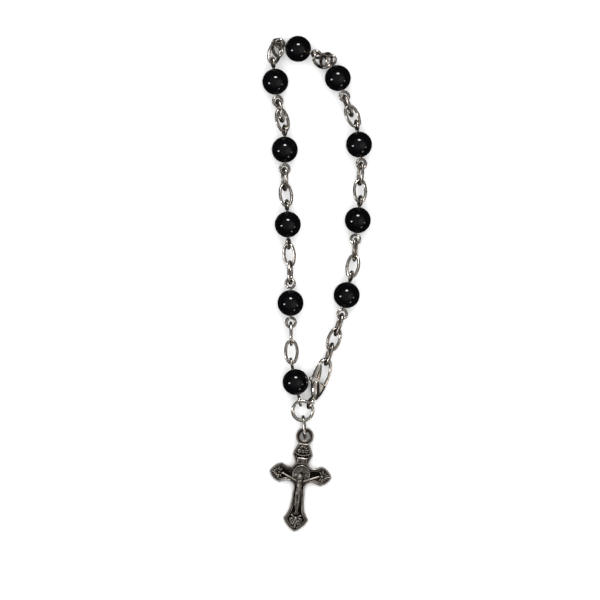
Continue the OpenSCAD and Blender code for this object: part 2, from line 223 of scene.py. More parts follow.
def addNode(tree, kind, inputs=None, **settings):
    node = tree.nodes.new(kind)
    for key, value in settings.items():
        setattr(node, key, value)
    setInputs(node, inputs or {})
    return node


def setInputs(node, values):
    for name, value in values.items():
        node.inputs[name].default_value = value


wear = {"patchFrom": 0.35, "patchTo": 0.7, "grainDepth": 0.00002}


# silver that is bright where it is rubbed and dark where it is sheltered, which is tarnish on the crucifix
# and painted shade on the clasp
def makeTarnishAndShade():
    group, gin, gout = newGroup("silverTarnishAndShade", [
        ("Vector", "NodeSocketVector", (0, 0, 0)),
        ("Clean", "NodeSocketColor", (0.6, 0.58, 0.55, 1)),
        ("Dark", "NodeSocketColor", (0.02, 0.018, 0.016, 1)),
        ("Shelter", "NodeSocketFloat", 0.0),
        ("Patch Scale", "NodeSocketFloat", 600.0),
        ("Patch Amount", "NodeSocketFloat", 0.3),
        ("Rough Clean", "NodeSocketFloat", 0.2),
        ("Rough Dark", "NodeSocketFloat", 0.5),
        ("Grain Scale", "NodeSocketFloat", 9000.0)],
        [("Color", "NodeSocketColor"), ("Roughness", "NodeSocketFloat"), ("Height", "NodeSocketFloat")])
    link = group.links.new
    patch = addNode(group, "ShaderNodeTexNoise", {"Detail": 4})
    link(gin.outputs["Vector"], patch.inputs["Vector"])
    link(gin.outputs["Patch Scale"], patch.inputs["Scale"])
    spread = addNode(group, "ShaderNodeMapRange", {
        "From Min": wear["patchFrom"], "From Max": wear["patchTo"]}, clamp=True)
    link(patch.outputs["Fac"], spread.inputs["Value"])
    weigh = addNode(group, "ShaderNodeMath", operation="MULTIPLY")
    link(spread.outputs["Result"], weigh.inputs[0])
    link(gin.outputs["Patch Amount"], weigh.inputs[1])
    total = addNode(group, "ShaderNodeMath", operation="ADD", use_clamp=True)
    link(weigh.outputs[0], total.inputs[0])
    link(gin.outputs["Shelter"], total.inputs[1])
    colour = addNode(group, "ShaderNodeMix", data_type="RGBA")
    link(total.outputs[0], colour.inputs["Factor"])
    link(gin.outputs["Clean"], colour.inputs["A"])
    link(gin.outputs["Dark"], colour.inputs["B"])
    rough = addNode(group, "ShaderNodeMix", data_type="FLOAT")
    link(total.outputs[0], rough.inputs["Factor"])
    link(gin.outputs["Rough Clean"], rough.inputs["A"])
    link(gin.outputs["Rough Dark"], rough.inputs["B"])
    grain = addNode(group, "ShaderNodeTexNoise", {"Detail": 3})
    link(gin.outputs["Vector"], grain.inputs["Vector"])
    link(gin.outputs["Grain Scale"], grain.inputs["Scale"])
    link(colour.outputs["Result"], gout.inputs["Color"])
    link(rough.outputs["Result"], gout.inputs["Roughness"])
    link(grain.outputs["Fac"], gout.inputs["Height"])
    return group


tarnishAndShade = makeTarnishAndShade()


def newMaterial(name):
    mat = bpy.data.materials.new(name)
    mat.use_nodes = True
    tree = mat.node_tree
    return mat, tree, tree.nodes["Principled BSDF"], tree.links.new


# silver-tone metal; look is the dictionary of its settings
def makeSilver(name, look):
    mat, tree, shader, link = newMaterial(name)
    coords = addNode(tree, "ShaderNodeTexCoord")
    tone = addNode(tree, "ShaderNodeGroup", node_tree=tarnishAndShade)
    link(coords.outputs["Object"], tone.inputs["Vector"])
    setInputs(tone, {
        "Clean": (*look["clean"], 1), "Dark": (*look["dark"], 1),
        "Patch Scale": look["patchScale"], "Patch Amount": look["patchAmount"],
        "Rough Clean": look["roughClean"], "Rough Dark": look["roughDark"],
        "Grain Scale": look["grainScale"]})
    if look.get("shelterFrom"):
        low, high = look["shelterFrom"]
        mask = addNode(tree, "ShaderNodeAttribute", attribute_name="shelter")
        ramp = addNode(tree, "ShaderNodeMapRange",
                       {"From Min": low, "From Max": high, "To Max": look["shelterMost"]}, clamp=True)
        link(mask.outputs["Fac"], ramp.inputs["Value"])
        link(ramp.outputs["Result"], tone.inputs["Shelter"])
    bump = addNode(tree, "ShaderNodeBump", {"Strength": look["bump"], "Distance": wear["grainDepth"]})
    link(tone.outputs["Height"], bump.inputs["Height"])
    link(bump.outputs["Normal"], shader.inputs["Normal"])
    link(tone.outputs["Color"], shader.inputs["Base Color"])
    link(tone.outputs["Roughness"], shader.inputs["Roughness"])
    shader.inputs["Metallic"].default_value = 1
    return mat


chainSilver = makeSilver("chainSilver", {
    "clean": (0.5, 0.462, 0.418), "dark": (0.045, 0.037, 0.031), "patchScale": 900, "patchAmount": 0.8,
    "roughClean": 0.2, "roughDark": 0.4, "grainScale": 9000, "bump": 0.25})
# where a piece carries the shelter mask, as the clasp's body and lever do, its darkening is painted shade
brightSilver = makeSilver("brightSilver", {
    "clean": (0.72, 0.68, 0.632), "dark": (0.04, 0.033, 0.028), "patchScale": 700, "patchAmount": 0.5,
    "roughClean": 0.16, "roughDark": 0.4, "grainScale": 7000, "bump": 0.2,
    "shelterFrom": (0.46, 0.85), "shelterMost": 0.95})
antiqueSilver = makeSilver("antiqueSilver", {
    "clean": (0.4, 0.362, 0.326), "dark": (0.006, 0.005, 0.0042), "patchScale": 1100, "patchAmount": 0.4,
    "roughClean": 0.26, "roughDark": 0.6, "grainScale": 8000, "bump": 0.5,
    "shelterFrom": (0.2, 0.68), "shelterMost": 1.0})


glass = {
    "clear": (0.0008, 0.0008, 0.001), "cloudy": (0.0022, 0.0022, 0.003), "cloudScale": 260,
    "roughFrom": 0.03, "roughTo": 0.10, "smearFrom": 0.3, "smearTo": 0.75,
    "rippleScale": 420, "ripple": 0.12, "rippleDepth": 0.00004, "ior": 1.4, "specular": 0.35,
}


def makeBeadGlass():
    mat, tree, shader, link = newMaterial("blackBeadGlass")
    coords = addNode(tree, "ShaderNodeTexCoord")
    cloud = addNode(tree, "ShaderNodeTexNoise", {"Scale": glass["cloudScale"], "Detail": 3})
    link(coords.outputs["Object"], cloud.inputs["Vector"])
    tone = addNode(tree, "ShaderNodeMix", {"A": (*glass["clear"], 1), "B": (*glass["cloudy"], 1)},
                   data_type="RGBA")
    link(cloud.outputs["Fac"], tone.inputs["Factor"])
    link(tone.outputs["Result"], shader.inputs["Base Color"])
    smear = addNode(tree, "ShaderNodeMapRange", {
        "From Min": glass["smearFrom"], "From Max": glass["smearTo"],
        "To Min": glass["roughFrom"], "To Max": glass["roughTo"]}, clamp=True)
    link(cloud.outputs["Fac"], smear.inputs["Value"])
    link(smear.outputs["Result"], shader.inputs["Roughness"])
    ripple = addNode(tree, "ShaderNodeTexNoise", {"Scale": glass["rippleScale"], "Detail": 1})
    link(coords.outputs["Object"], ripple.inputs["Vector"])
    bump = addNode(tree, "ShaderNodeBump", {"Strength": glass["ripple"], "Distance": glass["rippleDepth"]})
    link(ripple.outputs["Fac"], bump.inputs["Height"])
    link(bump.outputs["Normal"], shader.inputs["Normal"])
    setInputs(shader, {"IOR": glass["ior"], "Specular IOR Level": glass["specular"]})
    return mat


beadGlass = makeBeadGlass()


bead = {"radius": 3.0, "bore": 0.5, "rim": 0.07, "segments": 64, "rings": 40, "poleCut": 0.92,
        "poleFrom": 0.9, "rimRings": 2.5, "turnStep": 1.3, "sharp": 40}


def makeBead():
    bpy.ops.mesh.primitive_uv_sphere_add(segments=bead["segments"], ring_count=bead["rings"],
                                         radius=bead["radius"])
    obj = newest("beadMaster")
    cut = bead["bore"] * bead["poleCut"]
    selectWhere(obj, lambda p: math.hypot(p.x, p.y) < cut)
    bpy.ops.mesh.delete(type="VERT")
    leaveEdit()
    deep = bead["radius"] * bead["poleFrom"]
    edge = bead["radius"] * math.sin(math.pi * bead["rimRings"] / bead["rings"])
    for end in (1, -1):  # the rim of the hole
        selectWhere(obj, lambda p: p.z * end > deep and math.hypot(p.x, p.y) < edge)
        work = bmesh.from_edit_mesh(obj.data)
        size = bead["bore"] + bead["rim"]
        chosen = [v for v in work.verts if v.select]
        radius = sum(math.hypot(v.co.x, v.co.y) for v in chosen) / len(chosen)
        bpy.ops.transform.resize(value=(size / radius, size / radius, 1))
        bpy.ops.mesh.extrude_region_move(TRANSFORM_OT_translate={"value": (0, 0, -end * bead["rim"])})
        bpy.ops.transform.resize(value=(bead["bore"] / size, bead["bore"] / size, 1))
        leaveEdit()
    selectWhere(obj, lambda e: e.is_boundary, "EDGE")
    bpy.ops.mesh.bridge_edge_loops()
    leaveEdit()
    cleanNormals(obj)
    smooth(obj, bead["sharp"])
    return obj


pin = {"wire": 0.65, "loopRadius": 1.05, "reach": 4.475, "cutFrom": 196, "cutTo": 206, "past": 0.2,
       "sharp": 50}
chainLink = {"length": 5.7, "width": 3.4, "wire": 0.7, "endRadius": 1.05, "lump": 1.1,
             "lumpReach": 0.2}
roundRing = {"radius": 2.325, "wire": 0.75, "cutAt": 60, "cutWidth": 2.4}
pendantRing = {"length": 5.6, "width": 3.3, "wire": 0.7, "lump": 1.04, "lumpReach": 0.12}


# opens a ring of wire where its two ends meet, and closes both ends
def cutRing(obj, fromTurn, toTurn):
    def inCut(p):
        turn = math.degrees(math.atan2(p.y, p.x)) % 360
        return fromTurn < turn < toTurn
    selectWhere(obj, inCut, "FACE")
    bpy.ops.mesh.delete(type="FACE")
    bpy.ops.mesh.select_mode(type="EDGE")
    bpy.ops.mesh.select_non_manifold()
    bpy.ops.mesh.fill_holes(sides=0)
    leaveEdit()


def makeLoop():
    bpy.ops.mesh.primitive_torus_add(major_radius=pin["loopRadius"], minor_radius=pin["wire"] / 2,
                                     major_segments=72, minor_segments=16)
    obj = newest("loopMaster")
    cutRing(obj, pin["cutFrom"], pin["cutTo"])
    return obj


def makeShaft():
    length = 2 * (pin["reach"] - pin["loopRadius"])
    bpy.ops.mesh.primitive_cylinder_add(vertices=16, radius=pin["wire"] / 2, depth=length,
                                        rotation=(0, math.pi / 2, 0))
    obj = newest("shaftMaster")
    applyPlace(obj)
    return obj


# a torus pulled apart in the middle, with the small lump of its soldered joint
def makeOval(name, size):
    r = (size["width"] - size["wire"]) / 2
    pull = (size["length"] - size["width"]) / 2
    bpy.ops.mesh.primitive_torus_add(major_radius=r, minor_radius=size["wire"] / 2,
                                     major_segments=48, minor_segments=16)
    obj = newest(name)
    for end in (1, -1):
        selectWhere(obj, lambda p: p.x * end > 0.01)
        bpy.ops.transform.translate(value=(end * pull, 0, 0))
        leaveEdit()
    selectWhere(obj, lambda p: p.y > 0 and abs(p.x) < pull + 0.001)
    bpy.ops.mesh.subdivide(number_cuts=5)
    leaveEdit()
    selectWhere(obj, lambda p: p.y > 0 and abs(p.x) < size["lumpReach"])
    bpy.ops.transform.resize(value=(1, size["lump"], size["lump"]), center_override=(0, r, 0))
    leaveEdit()
    cleanNormals(obj)
    return obj


# spins the wire's section round both ends and both bowed sides
def makeLink():
    wide = (chainLink["width"] - chainLink["wire"]) / 2
    endX = (chainLink["length"] - chainLink["wire"]) / 2 - chainLink["endRadius"]
    bow = (endX ** 2 + wide ** 2 - chainLink["endRadius"] ** 2) / (2 * (wide - chainLink["endRadius"]))
    meet = math.atan2(bow - wide, endX)
    start = (bow * math.cos(meet), bow * math.sin(meet) - (bow - wide), 0)
    bpy.ops.mesh.primitive_circle_add(vertices=16, radius=chainLink["wire"] / 2, location=start,
                                      rotation=(math.pi / 2, 0, meet))
    obj = newest("linkMaster")
    applyPlace(obj)
    pick(obj)
    bpy.ops.object.mode_set(mode="EDIT")
    bpy.ops.mesh.select_all(action="SELECT")
    for centre, turn in (((0, wide - bow, 0), math.pi - 2 * meet), ((-endX, 0, 0), 2 * meet),
                         ((0, bow - wide, 0), math.pi - 2 * meet), ((endX, 0, 0), 2 * meet)):
        bpy.ops.mesh.spin(steps=12, angle=turn, center=centre, axis=(0, 0, -1))
    leaveEdit()
    cleanNormals(obj)
    selectWhere(obj, lambda p: p.y > 0 and abs(p.x) < chainLink["lumpReach"])
    bpy.ops.transform.resize(value=(1, chainLink["lump"], chainLink["lump"]), center_override=(0, wide, 0))
    leaveEdit()
    return obj


def buildChain():
    beadMaster, loopMaster, shaftMaster = makeBead(), makeLoop(), makeShaft()
    for i in range(1, 11):
        node = f"eye_pin_{i}"
        centre, axis = mainAxes(*areaPoints(node))[:2]
        shaft = copyOf(shaftMaster, "shaft")
        putAt(shaft, framePlace(centre, axis, levelSide(Vector(axis))))
        parts = [shaft]
        for end in (1, -1):
            out = np.array(axis) * end
            beyond = areaPoints(node, lambda p: (p - centre) @ out > bead["radius"] + pin["past"])
            normal = Vector(mainAxes(*beyond)[3])  # the loop lies flat across its thinnest axis
            across = normal.cross(Vector(out)).normalized()
            middle = Vector(centre) + Vector(out) * pin["reach"]
            loop = copyOf(loopMaster, "loop")
            putAt(loop, framePlace(middle, out, across))
            parts.append(loop)
        obj = joinAll(parts, f"eyePin{i}")
        smooth(obj, pin["sharp"])
        finishPiece(obj, "bracelet", "chain_silver", chainSilver, node)
        ball = copyOf(beadMaster, f"bead{i}")
        turn = Vector((0, 0, 1)).rotation_difference(Vector(axis)).to_matrix().to_4x4()
        spun = turn @ Matrix.Rotation(i * bead["turnStep"], 4, "Z")  # no two beads show the same clouds
        putAt(ball, Matrix.Translation(Vector(centre) * mm) @ spun @ Matrix.Scale(mm, 4))
        finishPiece(ball, "bracelet", "bead_glass", beadGlass, f"bead_{i}")
    linkMaster = makeLink()
    for k in range(1, 22):
        obj = copyOf(linkMaster, f"chainLink{k}")
        place = ovalPlace(f"link_{k}")
        if k % 3 == 0:  # the joint isn't always on the same side
            place = place @ Matrix.Rotation(math.pi, 4, "X")
        putAt(obj, place)
        smooth(obj)
        finishPiece(obj, "bracelet", "chain_silver", chainSilver, f"link_{k}")
    for o in (beadMaster, loopMaster, shaftMaster, linkMaster):
        bpy.data.objects.remove(o)


def buildRings():
    bpy.ops.mesh.primitive_torus_add(major_radius=roundRing["radius"], minor_radius=roundRing["wire"] / 2,
                                     major_segments=144, minor_segments=20)
    obj = newest("roundRing")
    cutRing(obj, roundRing["cutAt"], roundRing["cutAt"] + roundRing["cutWidth"])
    putAt(obj, ovalPlace("round_ring"))
    smooth(obj, pin["sharp"])
    finishPiece(obj, "bracelet", "bright_silver", brightSilver, "round_ring")
    obj = makeOval("pendantRing", pendantRing)
    putAt(obj, ovalPlace("pendant_ring"))
    smooth(obj)
    finishPiece(obj, "bracelet", "chain_silver", chainSilver, "pendant_ring")


clasp = {
    "at": (-1.58826, -27.53841, 2.25857), "turn": 70, "rise": 0, "roll": 20,
    "eyeRadius": 1.15, "eyeWire": 0.7, "hookDepth": 1.25, "cheekDepth": 0.85,
    "cheekFlat": 1.0, "cheekTop": 7, "cheekSquash": 0.3,
    "pivot": (-0.756, 3.976), "rivet": 0.4, "rivetLength": 1.7, "rivetHole": 0.45,
    "roughVoxel": 0.055, "voxel": 0.045, "leverVoxel": 0.05,
    # boxes cut out of the body: right edge, foot, and size
    "slot": (0.8, 1.35, (4, 7, 1.1)), "opening": (0.05, 5.15, (3.6, 3, 4)),
    # the lever's thumb tab, the neck it stands on, and its thin part between the cheeks
    "tab": (-1.98, 5.35, 0), "tabSize": (0.4, 0.44, 0.6), "neck": (-1.4, 5.25, 0), "neckRadii": (0.6, 0.42),
    "leverFlat": 0.72, "thinAt": (-0.8, 3.6), "thinHalf": 0.45, "thinSize": (5, 4.9, 1.0),
    # height and depth of the carved channels, then the lowest point and the strength of the painted shade
    # along the groove and the folds
    "grooveCut": (1.3, 1.4), "foldCut": (0.62, 1.6),
    "grooveShade": (0.4, 1.0), "hookShade": (0.1, 0.9), "foldShade": (0.2, 1.0),
    # centre line and half width of the hook, from the heel up the right side and over the top
    "hookLine": [(0.8, 1.3, 0.4), (1.2, 2.3, 0.46), (1.5, 3.4, 0.46), (1.74, 4.6, 0.42), (1.93, 5.9, 0.33),
                 (2.0, 7.2, 0.3), (1.9, 8.4, 0.32), (1.58, 9.5, 0.37), (1.0, 10.35, 0.42), (0.3, 10.72, 0.45),
                 (-0.4, 10.45, 0.45), (-0.86, 9.95, 0.44), (-1.04, 9.36, 0.4)],
    # the rounded body below the opening
    "bodyLine": [(0.42, 1.05, 0.6), (0.4, 1.5, 0.84), (0.38, 2.2, 1.14), (0.33, 3.0, 1.4), (0.32, 3.8, 1.6),
                 (0.27, 4.5, 1.74), (0.28, 4.95, 1.62), (0.34, 5.3, 1.3)],
    # the groove beside the lever, and the fold along the gate
    "groove": [(-0.25, 4.9, 0.26), (-0.02, 4.35, 0.38), (0.28, 3.6, 0.4), (0.62, 2.8, 0.42), (0.84, 2.0, 0.4),
               (0.72, 1.2, 0.28)],
    "fold": [(-0.55, 9.0, 0.08), (-0.62, 8.3, 0.1), (-0.82, 7.5, 0.13), (-0.86, 6.7, 0.15),
             (-0.68, 6.15, 0.1)],
    "hookFold": [(0.15, 10.55, 0.1), (-0.35, 10.25, 0.13), (-0.66, 9.6, 0.12)],
    # the lever's centre line and half width, from its tail past the rivet to the gate's tip
    "leverLine": [(-0.1, 2.2, 0.36), (-0.42, 3.1, 0.56), (-0.64, 4.1, 0.74), (-0.78, 5.2, 0.98),
                  (-0.84, 6.2, 1.02), (-0.9, 7.2, 0.94), (-0.94, 8.0, 0.8), (-1.0, 8.7, 0.62),
                  (-1.07, 9.17, 0.46)],
}


def claspPlace():
    u = heading(clasp["turn"], clasp["rise"])
    right = -rolledSide(u, clasp["roll"])
    return framePlace(clasp["at"], right, u)


# a smooth path with its own half width at each point, flattened to the given depth
def wirePath(name, line, depth):
    bpy.ops.curve.primitive_nurbs_path_add(radius=1)
    curve = newest(name)
    bpy.ops.object.mode_set(mode="EDIT")
    bpy.ops.curve.select_all(action="SELECT")
    bpy.ops.curve.delete(type="VERT")
    for x, y, r in line:
        bpy.ops.curve.vertex_add(location=(x, y, 0))
        bpy.ops.curve.radius_set(radius=r)
    bpy.ops.object.mode_set(mode="OBJECT")
    spline = curve.data.splines[0]
    spline.use_endpoint_u = True
    spline.order_u = 3
    spline.resolution_u = 8
    curve.data.dimensions = "3D"
    curve.data.twist_mode = "Z_UP"
    curve.data.bevel_depth = 1
    curve.data.bevel_resolution = 8
    curve.data.use_fill_caps = True
    pick(curve)
    bpy.ops.object.convert(target="MESH")
    obj = newest(name)
    selectWhere(obj, lambda p: True)
    bpy.ops.transform.resize(value=(1, 1, depth), center_override=(0, 0, 0))
    leaveEdit()
    cleanNormals(obj)
    return obj


def addBall(x, y, z, sx, sy, sz, turn=0, segments=24):
    bpy.ops.mesh.primitive_uv_sphere_add(segments=segments, ring_count=segments // 2, radius=1,
                                         location=(x, y, z), rotation=(0, 0, math.radians(turn)))
    obj = bpy.context.object
    obj.scale = (sx, sy, sz)
    return obj


def addBox(x, y, z, sx, sy, sz):
    bpy.ops.mesh.primitive_cube_add(size=1, location=(x, y, z))
    obj = bpy.context.object
    obj.scale = (sx, sy, sz)
    return obj


def addRod(a, b, ra, rb, vertices=20):
    a, b = Vector(a), Vector(b)
    bpy.ops.mesh.primitive_cone_add(vertices=vertices, radius1=ra, radius2=rb, depth=(b - a).length,
                                    location=(a + b) / 2)
    obj = bpy.context.object
    obj.rotation_mode = "QUATERNION"
    obj.rotation_quaternion = (b - a).to_track_quat("Z", "Y")
    return obj


# melts overlapping shapes into one cast surface
def melt(obj, voxel, rounds=2, factor=0.5):
    applyMod(obj, "REMESH", mode="VOXEL", voxel_size=voxel)
    applyMod(obj, "SMOOTH", factor=factor, iterations=rounds)


def subtract(obj, tool):
    applyPlace(tool)
    applyMod(obj, "BOOLEAN", operation="DIFFERENCE", object=tool, solver="EXACT")
    bpy.data.objects.remove(tool)


def readPoints(mesh, what="co"):
    values = np.zeros(len(mesh.vertices) * 3)
    mesh.vertices.foreach_get(what, values)
    return values.reshape(-1, 3)


# stores how far each point lies below its blurred neighbourhood
def shelterMask(obj, reach, softness):
    mesh = obj.data
    count = len(mesh.vertices)
    co, normal = readPoints(mesh), readPoints(mesh, "normal")
    edge = np.zeros(len(mesh.edges) * 2, np.int64)
    mesh.edges.foreach_get("vertices", edge)
    edge = edge.reshape(-1, 2)
    degree = np.bincount(edge.ravel(), minlength=count)[:, None]
    blurred = co.copy()
    for step in range(reach):
        total = np.zeros_like(blurred)
        for axis in range(3):
            total[:, axis] = (np.bincount(edge[:, 0], blurred[edge[:, 1], axis], count)
                              + np.bincount(edge[:, 1], blurred[edge[:, 0], axis], count))
        blurred = total / degree
    depth = ((blurred - co) * normal).sum(1)
    value = np.clip(0.5 + depth / softness, 0, 1)
    layer = mesh.attributes.new("shelter", "FLOAT", "POINT")
    layer.data.foreach_set("value", value.astype(np.float32))


# adds to the shelter mask: painted shade on the clasp, tarnish on the crucifix
def addShadeAndTarnish(mesh, darkening):
    value = np.zeros(len(mesh.vertices), np.float32)
    layer = mesh.attributes["shelter"].data
    layer.foreach_get("value", value)
    layer.foreach_set("value", np.maximum(value, darkening).astype(np.float32))


# cuts a rounded channel along a line, from the given height up
def carve(obj, line, height, reach):
    tool = wirePath("channel", line, reach)
    tool.location.z = height
    subtract(obj, tool)


# how far painted shade reaches beyond a line's half widths, and how softly it fades
darkening = {"reach": 1.15, "fade": 0.4}


# painted shade lies along a line on the upper side, for as far as the line's half widths
def paintShadeAlong(obj, line, lowest, most):
    co = readPoints(obj.data)
    nearest = np.full(len(co), 9.0)
    for (x0, y0, r0), (x1, y1, r1) in zip(line, line[1:]):
        away = np.array((x1 - x0, y1 - y0))
        t = np.clip(((co[:, :2] - (x0, y0)) @ away) / (away @ away), 0, 1)
        gap = np.hypot(co[:, 0] - x0 - t * away[0], co[:, 1] - y0 - t * away[1]) / (r0 + t * (r1 - r0))
        nearest = np.minimum(nearest, gap)
    addShadeAndTarnish(obj.data, np.clip((darkening["reach"] - nearest) / darkening["fade"], 0, 1) * most * (co[:, 2] > lowest))


# tarnish fills the recesses, which lie below the given height
def darkenLow(obj, low, high, most):
    height = readPoints(obj.data)[:, 2]
    upward = np.clip(readPoints(obj.data, "normal")[:, 2] * 2, 0, 1)
    addShadeAndTarnish(obj.data, np.clip((high - height) / (high - low), 0, 1) * most * upward)


def cutBox(obj, edge, foot, size):
    subtract(obj, addBox(edge - size[0] / 2, foot + size[1] / 2, 0, *size))


def buildClaspBody():
    hook = wirePath("hook", clasp["hookLine"], clasp["hookDepth"])
    cheek = wirePath("cheek", clasp["bodyLine"], clasp["cheekDepth"])
    body = joinAll([hook, cheek], "claspBody")
    flat = clasp["cheekFlat"]
    for side in (1, -1):  # the cheeks are nearly flat
        selectWhere(body, lambda p: p.z * side > flat and p.y < clasp["cheekTop"])
        bpy.ops.transform.resize(value=(1, 1, clasp["cheekSquash"]), center_override=(0, 0, side * flat))
        leaveEdit()
    melt(body, clasp["roughVoxel"], 5)
    cutBox(body, *clasp["slot"])
    cutBox(body, *clasp["opening"])
    carve(body, clasp["groove"], *clasp["grooveCut"])
    bpy.ops.mesh.primitive_cylinder_add(vertices=32, radius=clasp["rivet"], depth=clasp["rivetLength"],
                                        location=(*clasp["pivot"], 0))
    rivet = bpy.context.object
    bpy.ops.mesh.primitive_torus_add(major_radius=clasp["eyeRadius"], minor_radius=clasp["eyeWire"] / 2,
                                     major_segments=64, minor_segments=20, rotation=(0, math.pi / 2, 0))
    eye = bpy.context.object
    body = joinAll([body, rivet, eye], "claspBody")
    melt(body, clasp["voxel"], 3)
    # painted shade: the hollows, the groove beside the lever and the fold over the hook are darkened
    shelterMask(body, 14, 0.16)
    paintShadeAlong(body, clasp["groove"], *clasp["grooveShade"])
    paintShadeAlong(body, clasp["hookFold"], *clasp["hookShade"])
    putAt(body, claspPlace())
    smooth(body)
    finishPiece(body, "bracelet", "bright_silver", brightSilver, "clasp_body")


def buildClaspLever():
    arm = wirePath("leverArm", clasp["leverLine"], 1)
    tab = addBall(*clasp["tab"], *clasp["tabSize"], turn=20)
    neck = addRod(clasp["neck"], clasp["tab"], *clasp["neckRadii"])
    lever = joinAll([arm, tab, neck], "claspLever")
    selectWhere(lever, lambda p: True)
    bpy.ops.transform.resize(value=(1, 1, clasp["leverFlat"]), center_override=(0, 0, 0))
    leaveEdit()
    melt(lever, clasp["leverVoxel"], 3)
    for side in (1, -1):  # the part between the cheeks is thin
        away = side * (clasp["thinHalf"] + clasp["thinSize"][2] / 2)
        subtract(lever, addBox(*clasp["thinAt"], away, *clasp["thinSize"]))
    carve(lever, clasp["fold"], *clasp["foldCut"])
    bpy.ops.mesh.primitive_cylinder_add(vertices=48, radius=clasp["rivetHole"], depth=4,
                                        location=(*clasp["pivot"], 0))
    subtract(lever, bpy.context.object)
    melt(lever, clasp["voxel"], 2)
    # painted shade: the lever's hollows and the fold along the gate are darkened
    shelterMask(lever, 12, 0.14)
    paintShadeAlong(lever, clasp["fold"], *clasp["foldShade"])
    putAt(lever, claspPlace())
    smooth(lever)
    finishPiece(lever, "lever", "bright_silver", brightSilver, "clasp_lever")


crucifix = {
    "at": (-2.85897, -35.22211, 0.9), "turn": -96.3, "rise": -2.3286, "middle": -8.86,
    "floor": 0.95, "top": 1.2, "voxel": 0.075, "figureVoxel": 0.035,
    "halo": {"x": 0.15, "y": 0.15, "radius": 1.9, "wire": 0.13, "height": 0.34,
             "rays": 22, "rayStart": 0.5, "rayShort": 0.1, "rayHeights": (0.36, 0.3),
             "rayRadii": (0.05, 0.12)},
    "plate": {"y": 3.15, "wide": 2.2, "narrow": 1.75, "tall": 1.5, "thick": 0.56, "border": 0.14},
    "scallops": {"count": 9, "wide": 1.75, "y": 4.4, "bow": 0.5, "height": 0.08, "size": (0.24, 0.2, 0.26)},
    "leaves": [(0, 5.55, 90, 1.05), (5.0, 0.02, 0, 1.15), (-5.0, 0.02, 180, 1.15), (0, -10.1, -90, 1.3)],
    "darkening": (0.06, 0.3, 0.62),  # from and to above the floor, and its strength
}

leaf = {
    "bends": (-120, -82, -48, -20, 20, 48, 82, 120), "bud": (0.3, 0.3, 0.42),
    "reach": 0.95, "shorter": 0.0022, "tipReach": 1.38, "longReach": 1.25,
    # size, height over the floor, and segments
    "blade": ((0.42, 0.15, 0.3), 0.05, 16), "tip": ((0.15, 0.13, 0.24), 0.08, 12),
    "long": ((0.62, 0.17, 0.3), 0.06, 16),
}


def crucifixPlace():
    down = heading(crucifix["turn"], crucifix["rise"])
    return framePlace(crucifix["at"], levelSide(down), -down)


# leaves that fan out from a bud, as on the flared ends
def leafSpray(x, y, turn, size, floor):
    def addLeaf(bend, reach, shape, height, segments):
        a = math.radians(turn + bend)
        return addBall(x + reach * math.cos(a), y + reach * math.sin(a), floor + height,
                       *(size * part for part in shape), turn=turn + bend, segments=segments)

    parts = [addBall(x, y, floor, *(size * part for part in leaf["bud"]))]
    for bend in leaf["bends"]:
        reach = size * (leaf["reach"] - leaf["shorter"] * abs(bend))
        parts.append(addLeaf(bend, reach, *leaf["blade"]))
        parts.append(addLeaf(bend, reach * leaf["tipReach"], *leaf["tip"]))
    parts.append(addLeaf(0, size * leaf["longReach"], *leaf["long"]))
    return parts


def makeHalo(x, y, floor):
    halo = crucifix["halo"]
    bpy.ops.mesh.primitive_torus_add(major_radius=halo["radius"], minor_radius=halo["wire"],
                                     major_segments=72, minor_segments=12,
                                     location=(x, y, floor + halo["height"]))
    parts = [bpy.context.object]
    r0, r1 = halo["rayStart"], halo["radius"] - halo["rayShort"]
    z0, z1 = (floor + height for height in halo["rayHeights"])
    for i in range(halo["rays"]):
        a = 2 * math.pi * i / halo["rays"]
        parts.append(addRod((x + r0 * math.cos(a), y + r0 * math.sin(a), z0),
                            (x + r1 * math.cos(a), y + r1 * math.sin(a), z1), *halo["rayRadii"], 8))
    return parts


# the plate, narrower at its foot, with a raised border
def makePlate(y, floor):
    plate = crucifix["plate"]
    board = addBox(0, y, floor + plate["thick"] / 2, plate["wide"], plate["tall"], plate["thick"])
    applyPlace(board)
    selectWhere(board, lambda p: p.y < y - 0.1)
    bpy.ops.transform.resize(value=(plate["narrow"] / plate["wide"], 1, 1))
    leaveEdit()
    selectWhere(board, lambda p: p.z > floor + 0.3, "FACE")
    bpy.ops.mesh.inset(thickness=plate["border"])
    bpy.ops.transform.translate(value=(0, 0, -plate["border"]))
    leaveEdit()
    return board


def buildCross():
    place = crucifixPlace()
    base = copyOf(nodes["crucifix"], "crossPlate")
    base.parent = None
    base.data.transform(place.inverted())
    cleanNormals(base)
    top, floor, mid = crucifix["top"], crucifix["floor"], crucifix["middle"]
    parts = [base]
    parts += makeHalo(crucifix["halo"]["x"], mid + crucifix["halo"]["y"], floor)
    parts.append(makePlate(mid + crucifix["plate"]["y"], floor))
    band = crucifix["scallops"]
    half = (band["count"] - 1) // 2
    for i in range(band["count"]):  # scalloped band over the plate
        t = (i - half) / half
        parts.append(addBall(t * band["wide"], mid + band["y"] + band["bow"] * t * t, top + band["height"],
                             *band["size"], segments=14))
    for x, y, turn, size in crucifix["leaves"]:
        parts += leafSpray(x, mid + y, turn, size, floor + 0.1)
    cross = joinAll(parts, "crucifixCross")
    melt(cross, crucifix["voxel"], 2, 0.4)
    shelterMask(cross, 10, 0.14)
    low, high, most = crucifix["darkening"]
    darkenLow(cross, floor + low, floor + high, most)
    putAt(cross, place)
    smooth(cross)
    finishPiece(cross, "bracelet", "crucifix_silver", antiqueSilver, "crucifix")


